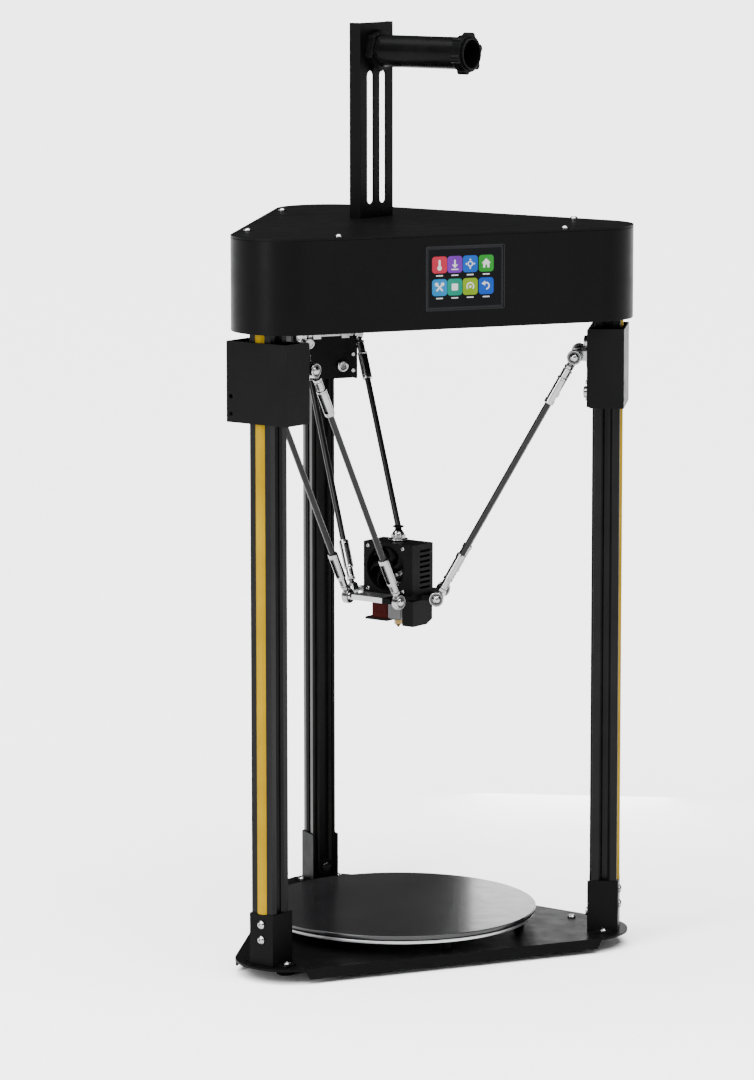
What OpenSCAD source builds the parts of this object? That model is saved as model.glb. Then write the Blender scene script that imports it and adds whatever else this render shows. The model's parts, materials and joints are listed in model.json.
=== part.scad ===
// Delta printer with three towers, a head housing on top and a round heated bed.
// The model stands on z = 0, its box centred on the Z axis, front towards -Y.

/* [Overall] */
// Height from the feet to the top of the spool bracket
printer_h = 880; // [730:1:1060]
// Width of the head housing across its rounded corners
housing_w = 400; // [330:1:480]
// Height of the head housing
housing_h = 88; // [80:1:110]
// Radius of the housing's rounded corners
housing_corner_r = 52; // [40:1:60]
// Wall of the folded sheet parts
sheet_t = 2; // [1.5:0.1:3]

/* [Base] */
// Height of the base plate's top face
base_top = 15; // [10:0.5:16]
// How much tighter the base plate's corners are than the housing's
base_corner_inset = 1; // [0:0.5:4]
// Distance from the end of a straight side back to the end of its folded lip, negative past it
lip_setback = -5; // [-6:0.5:30]
// Height of the folded lips
lip_h = 10; // [6:0.5:12]
// Radius of a rubber foot
foot_r = 10; // [8:0.5:14]
// Height of the foot brackets
bracket_h = 49; // [40:1:70]
// Wall of the foot brackets
bracket_t = 1.6; // [1.2:0.1:3]

/* [Towers] */
// Width of the square tower profile
profile_w = 24; // [23:0.1:30]
// Distance from a housing corner's tip to the tower's axis
tower_inset = 23; // [20:0.5:30]
// Width of a slot at the profile's face
slot_open = 11; // [8:0.1:12]
// Depth of the slanted mouth of a slot
slot_mouth = 2; // [1:0.1:2.5]
// Full depth of a slot
slot_depth = 7; // [6:0.1:7.5]
// How far the coloured strip stands out of a tower's outer slot
strip_bead = 2; // [0.5:0.1:3]
// Radius of the bore through the profile
profile_bore_r = 2.5; // [2:0.1:2.8]

/* [Bed] */
// Radius of the build glass
bed_r = 133; // [110:1:134]
// Height of the glass above the base plate
bed_rise = 18.5; // [18:0.5:30]
// Thickness of the build glass
glass_t = 4; // [3:0.5:6]
// Thickness of the heater plate
heater_t = 3; // [2:0.5:5]
// Gap between heater plate and glass, held by small pads
glass_gap = 1; // [0.5:0.1:2]

/* [Belts] */
// Pitch radius of the belt pulleys, 20 teeth of 2 mm
pulley_r = 6.37; // [5:0.01:8]
// Width of the belts
belt_w = 6; // [5:0.5:9]
// Thickness of the belts
belt_t = 1.4; // [1:0.1:1.6]
// Width of the pulleys over their flanges
pulley_w = 8; // [7:0.1:8.2]
// Depth of the belt channel in the tower's inner face
channel_d = 5; // [4.9:0.1:5.2]
// How far the middle of the belt sits inside that face
belt_sink = 0.6; // [0.2:0.1:0.6]
// Radius of the pulley flanges
flange_r = 8.4; // [8.1:0.1:9]
// Radial clearance of a turning fit
spin_clear = 0.05; // [0.02:0.01:0.1]

/* [Carriages] */
// Width of a carriage cover
cover_w = 70; // [59:1:86]
// Height of a carriage cover
cover_h = 75; // [70:1:95]
// Wall of a carriage cover
cover_t = 1.6; // [1.2:0.1:2.5]
// Gap from the tower's outer face to the inside of the cover
cover_gap = 3.6; // [3.5:0.1:9]
// Gap from a carriage at rest up to the housing
rest_gap = 8; // [8:1:30]
// Thickness of the carriage plate
plate_t = 2.5; // [2:0.1:3]
// Outer radius of the V-wheels
wheel_r = 7.6; // [6:0.1:9]
// How deep a wheel's rim reaches into the tower's slot
wheel_reach = 1.6; // [1:0.1:1.8]
// Radius of the wheel bolts
bolt_r = 2.5; // [2:0.1:3]

/* [Rods] */
// Length of a rod between its ball centres
rod_len = 266.7; // [240:0.5:330]
// Radius of the carbon tube
rod_r = 2.9; // [2.5:0.1:4]
// Spacing of the two rods of a pair
rod_pitch = 60; // [50:1:72]
// Radius of a ball
ball_r = 5; // [4.5:0.1:5.2]
// Outer radius of a rod's eye
eye_r = 7; // [6.5:0.1:8]
// Width of a rod's eye
eye_w = 6.5; // [5:0.1:7]
// Length of a rod end from ball centre to the tube
rod_end_len = 50; // [40:1:60]
// Distance from the effector's axis to its ball centres
effector_ball_r = 40; // [36:1:48]
// Distance from the carriage plate to its ball centres
ball_stand = 12.1; // [8:0.1:16]

/* [Hot end] */
// Height of the hot-end shroud
shroud_h = 49; // [46:1:54]
// Width of the shroud across the fan's face
shroud_w = 58; // [52:1:60]
// Depth of the shroud along the fan's axis
shroud_d = 32; // [26:1:36]
// Thickness of the effector plate
effector_t = 5; // [5:0.5:8]
// Thickness of the side fan
side_fan_t = 10; // [8:1:12]
// Distance from the effector's ball centres down to the nozzle's tip
nozzle_drop = 32.5; // [30:0.5:40]

/* [Spool holder] */
// Height of the spool bracket above the housing
spool_bracket_h = 186; // [150:1:230]
// Width of the spool bracket
spool_bracket_w = 52; // [44:1:60]
// Depth of the bracket's deeper side flange
spool_flange = 13; // [10:1:20]
// Depth of its other side flange
spool_flange_short = 8; // [4:1:20]
// Outer radius of the spool tube
spool_tube_r = 15.3; // [12:0.1:18]
// Length of the spool tube in front of the bracket
spool_tube_len = 100; // [80:1:140]
// Distance from the top of the bracket down to the tube's axis
spool_axis_drop = 27; // [22:1:40]

/* [Hidden] */
$fn = 64;
tower_angles = [210, 330, 90];
side_angles = [270, 30, 150];
corner_circle_r = (housing_w - 2 * housing_corner_r) / sqrt(3);
side_dist = corner_circle_r / 2 + housing_corner_r;
lip_len = corner_circle_r * sqrt(3) - 2 * lip_setback;
half_profile = profile_w / 2;
// The motor mount wraps the tower; its outer corners stay this far inside the housing
mount_wall = 4;
mount_gap = 0.5;
mount_reach = sqrt(pow(housing_corner_r - sheet_t - mount_gap, 2) - pow(half_profile + mount_wall, 2));
tower_r = corner_circle_r + min(housing_corner_r - tower_inset, mount_reach - half_profile - mount_wall);
base_corner_r = housing_corner_r - base_corner_inset;
base_side_dist = corner_circle_r / 2 + base_corner_r;
housing_top = printer_h - spool_bracket_h;
housing_z = housing_top - housing_h;
inside_top = housing_top - sheet_t;
cover_out = tower_r + half_profile + cover_gap + cover_t;
carriage_z = housing_z - rest_gap - cover_h / 2;
front_y = -max(side_dist, cover_out / 2 + cover_w * sqrt(3) / 4);
back_y = max(corner_circle_r + housing_corner_r, cover_out);
mid_y = (front_y + back_y) / 2;
belt_r = tower_r - half_profile + belt_sink;
channel_floor = tower_r - half_profile + channel_d;
motor_w = 42;
motor_len = 40;
motor_z = housing_z + sheet_t + 21 + motor_w / 2;
motor_plate_t = 3;
motor_plate_x = belt_r - pulley_w / 2 - 1 - motor_plate_t;
motor_x = motor_plate_x;
shaft_r = 2.5;
idler_z = base_top + 16;
plate_x = belt_r - belt_w / 2 - 1 - plate_t;
// The cover's side walls reach back to the plate
cover_in = plate_x + plate_t;
ball_x = plate_x - ball_stand;
ball_z = carriage_z + 10;
rod_run = ball_x - effector_ball_r;
rod_drop = sqrt(rod_len * rod_len - rod_run * rod_run);
effector_z = ball_z - rod_drop;
rod_tilt = atan2(rod_run, rod_drop);
stud_r = 1.5;
bar_r = 3;
effector_top = effector_z + effector_t / 2;
effector_bar_r = effector_t / 2 - 0.8;
glass_top = base_top + bed_rise;
slot_neck = slot_open - 2 * slot_mouth;
slot_lip = 1.2;
slot_room = 6;
slot_floor = 2.6;
wheel_y = half_profile + wheel_r - wheel_reach;
wheel_gap = 0.42;
jaw_t = 1.2;
wheel_flat = slot_open / 2 - wheel_reach - wheel_gap;
wheel_spread = 24;
wheel_chamfer = 2;
plate_screw_y = 5.5 - cover_w / 2;
bracket_screws_z = [bracket_h - 24.5, bracket_h - 10];
screw_r = 2;
screw_hole_r = 2.2;
screw_head_r = 4;
screw_head_h = 2.4;
cover_screw_inset = 10.4;
cover_screw_x = side_dist * 0.83;
base_screw_x = 165 / 200 * tower_r;
base_screw_y = 40;
foot_pos_r = corner_circle_r + 6;
supply_y = -22;
supply_h = 38;
nut_r = 4.6;
nut_h = 3.5;
screen_w = 80;
screen_h = 60;
screen_deep = 12;
screen_x = 8;
screen_rim = 1;
screen_z = housing_z + housing_h / 2 + 3;
inlet_w = 46;
inlet_h = 30;
inlet_y = 12;
inlet_z = housing_z + housing_h / 2;
rocker_r = 9;
rocker_w = 10;
rocker_y = 16;
rocker_gap = 0.4;
spool_angle = 300;
spool_pos = [3, 59];
spool_wall = 2.2;
spool_nut_w = 10;
spool_z = printer_h - spool_axis_drop;
spool_slot_w = 10;
spool_slot_pitch = 19.5;
spool_slot_low = 13;
spool_slot_top = 46;
spool_hole_r = 6;
hot_angle = 210;
fan_t = 10;
fan_hole_r = 21.5;
rotor_r = 20.5;
side_fan_w = 45;
side_hole_r = 19.5;
side_rotor_r = 18.5;
hub_r = 8;
shroud_x0 = -shroud_d / 2 + 6;
shroud_x1 = shroud_x0 + shroud_d;
shroud_y0 = -25;
shroud_y1 = shroud_y0 + shroud_w;
fan_y = 1;
side_fan_y = (shroud_y0 + shroud_y1) / 2;
duct_w = 13;
shroud_wall = 2;
sink_r = -shroud_x0 - shroud_wall - 0.5;
break_r = 3;
guide_z = effector_z - nozzle_drop + 5.8;
guide_t = 2.2;
block_z = guide_z + guide_t;
block_h = 18;
sink_low = block_z + block_h / 2 - effector_top;

// ---- shared frames and shapes ----

// Moves the tower circle's centre so that the whole printer's box is centred on Z.
module placed() translate([0, -mid_y, 0]) children();

// Turns so that +X points outward through a tower.
module at_tower(i) placed() rotate([0, 0, tower_angles[i]]) children();

// Turns so that +X points outward through a straight side.
module at_side(i) placed() rotate([0, 0, side_angles[i]]) children();

module all_towers() for (i = [0:2]) at_tower(i) children();

module rounded_triangle(corner_r)
    hull() for (a = tower_angles) rotate(a) translate([corner_circle_r, 0]) circle(r = corner_r, $fn = 180);

module slot_shape()
    polygon([[half_profile + 0.1, slot_open / 2 + 0.1], [half_profile - slot_mouth, slot_neck / 2],
        [half_profile - slot_mouth - slot_lip, slot_neck / 2], [half_profile - slot_mouth - slot_lip, slot_room],
        [half_profile - slot_depth, slot_floor], [half_profile - slot_depth, -slot_floor],
        [half_profile - slot_mouth - slot_lip, -slot_room], [half_profile - slot_mouth - slot_lip, -slot_neck / 2],
        [half_profile - slot_mouth, -slot_neck / 2], [half_profile + 0.1, -slot_open / 2 - 0.1]]);

// Button-head screw with a hexagon socket, head on z = 0, shank downwards.
module button_screw(len) {
    difference() {
        union() {
            cylinder(r = screw_head_r, h = screw_head_h * 0.45);
            translate([0, 0, screw_head_h * 0.45])
                cylinder(r1 = screw_head_r, r2 = screw_head_r * 0.62, h = screw_head_h * 0.55);
        }
        translate([0, 0, screw_head_h * 0.4]) cylinder(r = 1.5, h = screw_head_h, $fn = 6);
    }
    translate([0, 0, -len]) cylinder(r = screw_r, h = len);
}

// Cylinder along X from x0 to x1.
module x_rod(r, x0, x1) translate([x0, 0, 0]) rotate([0, 90, 0]) cylinder(r = r, h = x1 - x0);

// Cylinder along Y from y0 to y1.
module y_rod(r, y0, y1) translate([0, y0, 0]) rotate([-90, 0, 0]) cylinder(r = r, h = y1 - y0);

// Flat outline in Y and Z, pushed along X from x0 to x1.
module x_prism(x0, x1) translate([x0, 0, 0]) rotate([90, 0, 90]) linear_extrude(x1 - x0) children();

// Box along X, centred on Y and Z.
module bar(x0, x1, w, h) translate([x0, -w / 2, -h / 2]) cube([x1 - x0, w, h]);

// ---- base ----

module foot_places() all_towers() translate([foot_pos_r, 0, 0]) children();

module base_screw_places()
    for (p = [[0, -1], [1, 1], [2, -1], [2, 1]])
        at_tower(p[0]) translate([base_screw_x, p[1] * base_screw_y, base_top]) children();

module base_plate() {
    color("#1c1c1e") {
        difference() {
            placed() translate([0, 0, base_top - sheet_t]) linear_extrude(sheet_t) rounded_triangle(base_corner_r);
            base_screw_places() translate([0, 0, -2 * sheet_t]) cylinder(r = screw_hole_r, h = 3 * sheet_t);
        }
        for (i = [0:2]) at_side(i)
            translate([base_side_dist, 0, base_top - sheet_t / 2]) rotate([90, 0, -90]) linear_extrude(sheet_t)
                polygon([[-lip_len / 2, 0], [lip_len / 2, 0], [lip_len / 2 - lip_h / 2, sheet_t / 2 - lip_h],
                    [lip_h / 2 - lip_len / 2, sheet_t / 2 - lip_h]]);
    }
}

module rubber_feet()
    color("#222222") foot_places() difference() {
        cylinder(r1 = foot_r - 1.5, r2 = foot_r, h = base_top - sheet_t);
        translate([0, 0, -1]) cylinder(r = foot_r / 3, h = 4);
    }

module foot_bracket() {
    side = half_profile + bracket_t;
    difference() {
        translate([-half_profile - 4, -side, 0]) cube([profile_w + 4 + bracket_t, 2 * side, bracket_h]);
        translate([-half_profile - 5, -half_profile, -1]) cube([profile_w + 5, profile_w, bracket_h + 2]);
        for (z = bracket_screws_z) translate([0, 0, z]) x_rod(screw_hole_r, 0, side + 1);
    }
    for (s = [0, 1]) mirror([0, s, 0]) difference() {
        translate([-8, side - 0.5, 0]) cube([16, 11.5, bracket_t]);
        translate([0, side + 5.5, -1]) cylinder(r = screw_hole_r, h = bracket_t + 2);
    }
}

module foot_brackets()
    color("#202022") all_towers() translate([tower_r, 0, base_top]) foot_bracket();

module side_screw_places()
    for (i = [0:2]) at_side(i) for (s = [-1, 1])
        translate([side_dist - cover_screw_inset, s * cover_screw_x, housing_top]) children();

module button_screws() {
    side = half_profile + bracket_t;
    color("#c9ccd0") {
        side_screw_places() button_screw(6);
        base_screw_places() button_screw(sheet_t);
        all_towers() translate([tower_r, 0, base_top]) {
            for (z = bracket_screws_z)
                translate([side, 0, z]) rotate([0, 90, 0]) button_screw(bracket_t + 3);
            for (s = [-1, 1]) translate([0, s * (side + 5.5), bracket_t]) button_screw(bracket_t);
        }
        // axle screw of each lower belt pulley, with the spacer that stands in the belt channel
        all_towers() translate([0, 0, idler_z]) {
            x_rod(shaft_r, belt_r - pulley_w / 2 - 1, channel_floor);
            x_rod(shaft_r + 1.5, belt_r + pulley_w / 2 + 0.15, channel_floor);
            x_rod(screw_head_r, belt_r - pulley_w / 2 - 3, belt_r - pulley_w / 2 - 0.6);
        }
    }
}

// ---- towers ----

module tower(i)
    color("#141416") at_tower(i) translate([tower_r, 0, base_top])
        linear_extrude(inside_top - base_top) difference() {
            square(profile_w, center = true);
            for (a = [-90:90:90]) rotate(a) slot_shape();
            translate([-half_profile - 1, -flange_r - 1]) square([channel_d + 1, 2 * flange_r + 2]);
            circle(r = profile_bore_r);
        }

module slot_covers() {
    low = base_top + bracket_h;
    color("#f5b417") all_towers() translate([tower_r, 0, low]) linear_extrude(housing_z - low)
        polygon([[half_profile, slot_open / 2], [half_profile - slot_mouth, slot_neck / 2],
            [half_profile - slot_mouth - slot_lip, slot_neck / 2],
            [half_profile - slot_mouth - slot_lip, -slot_neck / 2],
            [half_profile - slot_mouth, -slot_neck / 2], [half_profile, -slot_open / 2],
            [half_profile + strip_bead * 0.7, strip_bead - slot_open / 2],
            [half_profile + strip_bead, -slot_open / 4], [half_profile + strip_bead, slot_open / 4],
            [half_profile + strip_bead * 0.7, slot_open / 2 - strip_bead]]);
}

// ---- bed ----

module bed_standoffs()
    color("#2b2b2d") placed() for (a = [30:60:330]) rotate([0, 0, a]) {
        translate([bed_r - 16, 0, base_top]) cylinder(r = 5, h = bed_rise - glass_t - glass_gap - heater_t);
        translate([bed_r - 9, 0, glass_top - glass_t - glass_gap]) cylinder(r = 4, h = glass_gap);
    }

module heater_plate()
    color("#b9bcc0") placed() translate([0, 0, glass_top - glass_t - glass_gap - heater_t])
        cylinder(r = bed_r - 1, h = heater_t, $fn = 180);

module build_glass()
    color("#0d0e10") placed() translate([0, 0, glass_top - glass_t]) cylinder(r = bed_r, h = glass_t, $fn = 180);

// ---- head housing ----

module tower_cuts(clear)
    for (a = tower_angles) rotate(a) translate([tower_r, 0]) square(profile_w + 2 * clear, center = true);

module housing_shell() {
    wall_h = housing_h - sheet_t;
    color("#121214") difference() {
        placed() translate([0, 0, housing_z]) linear_extrude(wall_h) difference() {
            rounded_triangle(housing_corner_r);
            rounded_triangle(housing_corner_r - sheet_t);
        }
        at_side(0) translate([side_dist, screen_x, screen_z]) bar(-2 * sheet_t, 1, screen_w, screen_h);
        at_side(2) translate([side_dist, inlet_y, inlet_z]) bar(-2 * sheet_t, 1, inlet_w, inlet_h - 6);
    }
}

module housing_floor()
    color("#161618") placed() translate([0, 0, housing_z]) linear_extrude(sheet_t) difference() {
        rounded_triangle(housing_corner_r - sheet_t);
        tower_cuts(0);
        for (a = tower_angles) rotate(a) translate([belt_r, 0])
            square([belt_w + 5, 2 * flange_r + 4], center = true);
    }

module top_cover()
    color("#151517") difference() {
        placed() translate([0, 0, inside_top]) linear_extrude(sheet_t) rounded_triangle(housing_corner_r);
        side_screw_places() translate([0, 0, -2 * sheet_t]) cylinder(r = screw_hole_r, h = 3 * sheet_t);
    }

module motor_mounts()
    color("#8d9095") all_towers() translate([0, 0, motor_z]) difference() {
        union() {
            bar(motor_plate_x, motor_plate_x + motor_plate_t, motor_w, motor_w);
            bar(motor_plate_x, tower_r + half_profile + mount_wall, profile_w + 2 * mount_wall, motor_w);
        }
        bar(motor_plate_x + motor_plate_t, tower_r + half_profile, profile_w, motor_w + 2);
        x_rod(11.2, motor_plate_x - 1, motor_plate_x + motor_plate_t + 1);
        for (y = [-15.5, 15.5]) for (z = [-15.5, 15.5])
            translate([0, y, z]) x_rod(1.6, motor_plate_x - 1, motor_plate_x + 20);
    }

module motors()
    color("#3a3b3e") all_towers() translate([0, 0, motor_z]) difference() {
        union() {
            bar(motor_x - 8, motor_x, motor_w, motor_w);
            intersection() {
                bar(motor_x - motor_len + 8, motor_x - 8, motor_w - 1, motor_w - 1);
                rotate([45, 0, 0]) bar(motor_x - motor_len, motor_x, motor_w * 1.28, motor_w * 1.28);
            }
            bar(motor_x - motor_len, motor_x - motor_len + 8, motor_w, motor_w);
            x_rod(11, motor_x, motor_x + 2);
        }
        x_rod(shaft_r + 1, motor_x - 12, motor_x + 3);
    }

// Loop of belt around the motor's pulley and the lower idler.
module belts() {
    rise = motor_z - idler_z;
    color("#0c0c0c") all_towers() translate([belt_r - belt_w / 2, 0, 0]) rotate([90, 0, 90]) linear_extrude(belt_w)
        difference() {
            union() {
                translate([0, idler_z]) circle(r = pulley_r + belt_t / 2);
                translate([0, motor_z]) circle(r = pulley_r + belt_t / 2);
                translate([-pulley_r - belt_t / 2, idler_z]) square([2 * pulley_r + belt_t, rise]);
            }
            translate([0, idler_z]) circle(r = pulley_r - belt_t / 2);
            translate([0, motor_z]) circle(r = pulley_r - belt_t / 2);
            translate([-pulley_r + belt_t / 2, idler_z]) square([2 * pulley_r - belt_t, rise]);
        }
}

module touch_screen()
    color("#101a2c") at_side(0) translate([side_dist, screen_x, screen_z]) difference() {
        union() {
            bar(-screen_deep, 0, screen_w, screen_h);
            bar(-screen_deep, -sheet_t, screen_w + 8, screen_h + 8);
        }
        bar(-screen_rim, 1, screen_w - 2 * screen_rim, screen_h - 2 * screen_rim);
    }

module mainboard()
    color("#1d6b3a") placed() translate([0, supply_y, housing_z + sheet_t + supply_h]) {
        for (x = [-55, 55]) for (y = [-34, 34]) translate([x, y, 0]) cylinder(r = 3, h = 8);
        difference() {
            translate([-62, -45, 8]) cube([124, 90, 1.6]);
            for (x = [-20, 20]) translate([x, -30, 7]) cylinder(r = 1.6, h = 4);
        }
        for (x = [-45, -25, -5, 15]) translate([x, 10, 9.6]) cube([14, 20, 12]);
        translate([-50, -40, 9.6]) cube([60, 10, 9]);
    }

module power_supply()
    color("#a9adb2") placed() translate([-75, supply_y - 38, housing_z + sheet_t]) difference() {
        cube([150, 76, supply_h]);
        translate([-1, -1, 20]) cube([16, 78, supply_h]);
        for (x = [40:12:124]) translate([x, -1, 12]) cube([5, 4, 16]);
    }

module extruder()
    color("#55585d") placed() translate([0, supply_y + 38 + 30, housing_z + sheet_t]) {
        translate([-motor_w / 2, -motor_w / 2, 0]) cube([motor_w, motor_w, 34]);
        translate([-20, -20, 34]) difference() {
            cube([40, 40, 16]);
            translate([20, -1, 8]) rotate([-90, 0, 0]) cylinder(r = 1.2, h = 42);
        }
        translate([0, -24, 42]) rotate([-90, 0, 0]) cylinder(r = 4, h = 4);
    }

module power_inlet()
    color("#19191b") at_side(2) translate([side_dist, inlet_y, inlet_z]) difference() {
        union() {
            bar(0, 2, inlet_w + 8, inlet_h);
            bar(-22, 0, inlet_w, inlet_h - 6);
        }
        translate([0, -rocker_y / 2, 0]) bar(-16, 3, 26, 18);
        translate([0, rocker_y, 0]) bar(-12, 3, rocker_w + 2 * rocker_gap, 2 * (rocker_r + rocker_gap));
    }

// Rocker key turning on its own cylinder's axis, with a dished face.
module power_rocker()
    color("#b3201c") at_side(2) translate([side_dist - 2, inlet_y + rocker_y, inlet_z]) difference() {
        y_rod(rocker_r, -rocker_w / 2, rocker_w / 2);
        translate([rocker_r + 19.5, 0, 0]) y_rod(22, -rocker_w, rocker_w);
    }

// ---- spool holder ----

module at_spool() placed() translate([spool_pos[0], spool_pos[1], 0]) rotate([0, 0, spool_angle]) children();

module spool_bracket() {
    w = spool_bracket_w;
    top = spool_bracket_h;
    color("#18181a") at_spool() translate([0, 0, housing_top]) difference() {
        union() {
            translate([-sheet_t, -w / 2, 0]) cube([sheet_t, w, top]);
            translate([-spool_flange_short, w / 2 - sheet_t, 0]) cube([spool_flange_short, sheet_t, top]);
            translate([-spool_flange, -w / 2, 0]) cube([spool_flange, sheet_t, top]);
            translate([-spool_flange, -w / 2, 0]) cube([spool_flange, w, sheet_t]);
        }
        for (y = [-0.5, 0.5]) translate([0, y * spool_slot_pitch, 0]) {
            translate([-sheet_t - 1, -spool_slot_w / 2, spool_slot_low + spool_slot_w / 2])
                cube([sheet_t + 2, spool_slot_w, top - spool_slot_low - spool_slot_top - spool_slot_w]);
            for (z = [spool_slot_low + spool_slot_w / 2, top - spool_slot_top - spool_slot_w / 2])
                translate([0, 0, z]) x_rod(spool_slot_w / 2, -sheet_t - 1, 1);
        }
        translate([0, 0, top - spool_axis_drop]) x_rod(spool_hole_r, -sheet_t - 1, 1);
    }
}

// Round outline with six rounded lobes that stand 1.2 mm inside its edge.
module lobed_ring(r, lobe_r) {
    circle(r = r);
    for (a = [15:60:315]) rotate(a) translate([r - 1.2, 0]) circle(r = lobe_r);
}

// Hollow tube with a lobed collar at the bracket and a bolt through the wall.
module spool_tube()
    color("#101012") at_spool() translate([0, 0, spool_z]) {
        difference() {
            union() {
                x_rod(spool_tube_r, 8, spool_tube_len + spool_nut_w + 2);
                x_prism(0, 9) lobed_ring(spool_tube_r + 2.6, 3.4);
            }
            x_rod(spool_tube_r - spool_wall, 5, spool_tube_len + spool_nut_w + 3);
        }
        x_rod(spool_hole_r, -sheet_t, 0);
        x_rod(spool_hole_r + 5, -sheet_t - 5, -sheet_t);
    }

module spool_nut()
    color("#131315") at_spool() translate([spool_tube_len, 0, spool_z]) difference() {
        x_prism(0, spool_nut_w) lobed_ring(spool_tube_r + 2.2, 4);
        x_rod(spool_tube_r + 0.1, -1, spool_nut_w + 1);
    }

// ---- carriages ----

module carriage_frame(i) at_tower(i) translate([0, 0, carriage_z]) children();

module wheel_places() for (p = [[-1, 1], [-1, -1], [1, 0]])
    translate([0, p[0] * wheel_y, p[1] * wheel_spread]) children();

module carriage_cover(i)
    color("#17171a") carriage_frame(i) difference() {
        bar(cover_in, cover_out, cover_w, cover_h);
        bar(cover_in - 1, cover_out - cover_t, cover_w - 2 * cover_t, cover_h + 2);
        for (z = [8, 24]) translate([0, 5 - cover_w / 2, z - cover_h / 2])
            x_rod(screw_hole_r, cover_out - 4, cover_out + 1);
    }

module carriage_plate(i)
    color("#1e1e21") carriage_frame(i) {
        difference() {
            bar(plate_x, plate_x + plate_t, cover_w - 1, cover_h - 2);
            wheel_places() x_rod(bolt_r + spin_clear, plate_x - 1, plate_x + plate_t + 1);
        }
        // jaws that grip the running side of the belt
        for (y = [pulley_r - belt_t / 2 - 0.5 - jaw_t, pulley_r + belt_t / 2 + 0.5])
            translate([plate_x + plate_t - 0.5, y, -8]) cube([belt_w + 1, jaw_t, 16]);
    }

// Bar with a ball at each end, along Y through the origin, thicker between the eyes.
module ball_pair(body_r) {
    half_body = rod_pitch / 2 - eye_w / 2 - 3;
    y_rod(stud_r, -rod_pitch / 2, rod_pitch / 2);
    y_rod(body_r, -half_body, half_body);
    for (s = [-1, 1]) translate([0, s * rod_pitch / 2, 0]) sphere(r = ball_r);
}

module ball_bar(i)
    color("#cfd2d6") {
        at_tower(i) translate([ball_x, 0, ball_z]) {
            ball_pair(bar_r);
            for (s = [-1, 1]) translate([0, s * 15, 0]) bar(-4, plate_x - ball_x, 8, 9);
        }
        carriage_frame(i) wheel_places() {
            x_rod(bolt_r, plate_x - 1, cover_out - cover_t - nut_h + 1);
            x_rod(bolt_r + 3.3, plate_x - 3, plate_x);
            translate([cover_out - cover_t - nut_h, 0, 0]) rotate([0, 90, 0]) cylinder(r = nut_r, h = nut_h, $fn = 6);
        }
        carriage_frame(i) for (z = [11, -5])
            translate([0, plate_screw_y, z - wheel_spread]) x_rod(1.8, plate_x - 1.4, plate_x);
    }

module v_wheels(i)
    color("#0f0f10") carriage_frame(i) translate([tower_r, 0, 0]) wheel_places() rotate([0, 90, 0])
        rotate_extrude() polygon([[bolt_r + spin_clear, -wheel_flat - wheel_chamfer],
            [wheel_r - wheel_chamfer, -wheel_flat - wheel_chamfer], [wheel_r, -wheel_flat], [wheel_r, wheel_flat],
            [wheel_r - wheel_chamfer, wheel_flat + wheel_chamfer],
            [bolt_r + spin_clear, wheel_flat + wheel_chamfer]]);

// ---- belt pulleys ----

// Grooved pulley along X, its belt groove at x = 0.
module pulley_body() {
    hub = pulley_r - belt_t / 2 - 0.35;
    edge = (pulley_w - belt_w) / 2 - 0.3;
    x_rod(hub, -pulley_w / 2, pulley_w / 2);
    x_rod(flange_r, -pulley_w / 2, -pulley_w / 2 + edge);
    x_rod(flange_r, pulley_w / 2 - edge, pulley_w / 2);
}

module drive_pulley(i)
    color("#b9bcc1") at_tower(i) translate([belt_r, 0, motor_z]) {
        pulley_body();
        x_rod(shaft_r, motor_x - belt_r - 10, pulley_w / 2 + 0.1);
    }

module idler_pulley(i)
    color("#a6a9ad") at_tower(i) translate([belt_r, 0, idler_z]) difference() {
        pulley_body();
        x_rod(shaft_r + spin_clear, -pulley_w, pulley_w);
        for (a = [30:60:330]) rotate([a, 0, 0]) translate([0, 4.1, 0]) x_rod(0.7, -pulley_w, pulley_w);
    }

// ---- rods ----

// Eye, neck and threaded sleeve of a rod end, from the ball centre up along +Z.
module rod_end() {
    difference() {
        union() {
            y_rod(eye_r, -eye_w / 2, eye_w / 2);
            translate([0, 0, eye_r - 1.6]) cylinder(r = 2.6, h = 10);
            translate([0, 0, eye_r + 3]) cylinder(r = 4.2, h = 5, $fn = 6);
            translate([0, 0, eye_r + 8]) cylinder(r = 3.7, h = rod_end_len - eye_r - 33);
            translate([0, 0, rod_end_len - 26]) cylinder(r = rod_r + 1.9, h = 26);
        }
        rotate([90, 0, 0]) sphere(r = ball_r + spin_clear);
    }
}

module rod(i, side)
    at_tower(i) translate([effector_ball_r, side * rod_pitch / 2, effector_z]) rotate([0, rod_tilt, 0]) {
        color("#161616") translate([0, 0, rod_end_len]) cylinder(r = rod_r, h = rod_len - 2 * rod_end_len);
        color("#c4c7cb") rod_end();
        color("#c4c7cb") translate([0, 0, rod_len]) rotate([180, 0, 0]) rod_end();
    }

// ---- effector and hot end ----

module at_hotend() placed() rotate([0, 0, hot_angle]) children();

module effector_plate() {
    tab_w = rod_pitch - eye_w - 8;
    color("#c2c5c9") difference() {
        placed() translate([0, 0, effector_z - effector_t / 2]) linear_extrude(effector_t) union() {
            circle(r = effector_ball_r - 6);
            for (a = tower_angles) rotate(a) translate([0, -tab_w / 2]) square([effector_ball_r + 4, tab_w]);
        }
        all_towers() translate([effector_ball_r, 0, effector_z]) y_rod(effector_bar_r, -rod_pitch, rod_pitch);
        at_hotend() translate([0, 0, effector_z - effector_t]) cylinder(r = break_r + 4, h = 2 * effector_t);
    }
}

module effector_studs()
    color("#d2d5d9") all_towers() translate([effector_ball_r, 0, effector_z])
        ball_pair(effector_bar_r);

module heat_sink()
    color("#8f9296") at_hotend() translate([0, 0, effector_top]) {
        cylinder(r = sink_r, h = 3);
        cylinder(r = 5, h = shroud_h - 8);
        for (k = [1:8]) translate([0, 0, 1 + k * 4]) cylinder(r = sink_r, h = 1.5);
        translate([0, 0, sink_low]) cylinder(r = break_r, h = -sink_low);
    }

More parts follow.
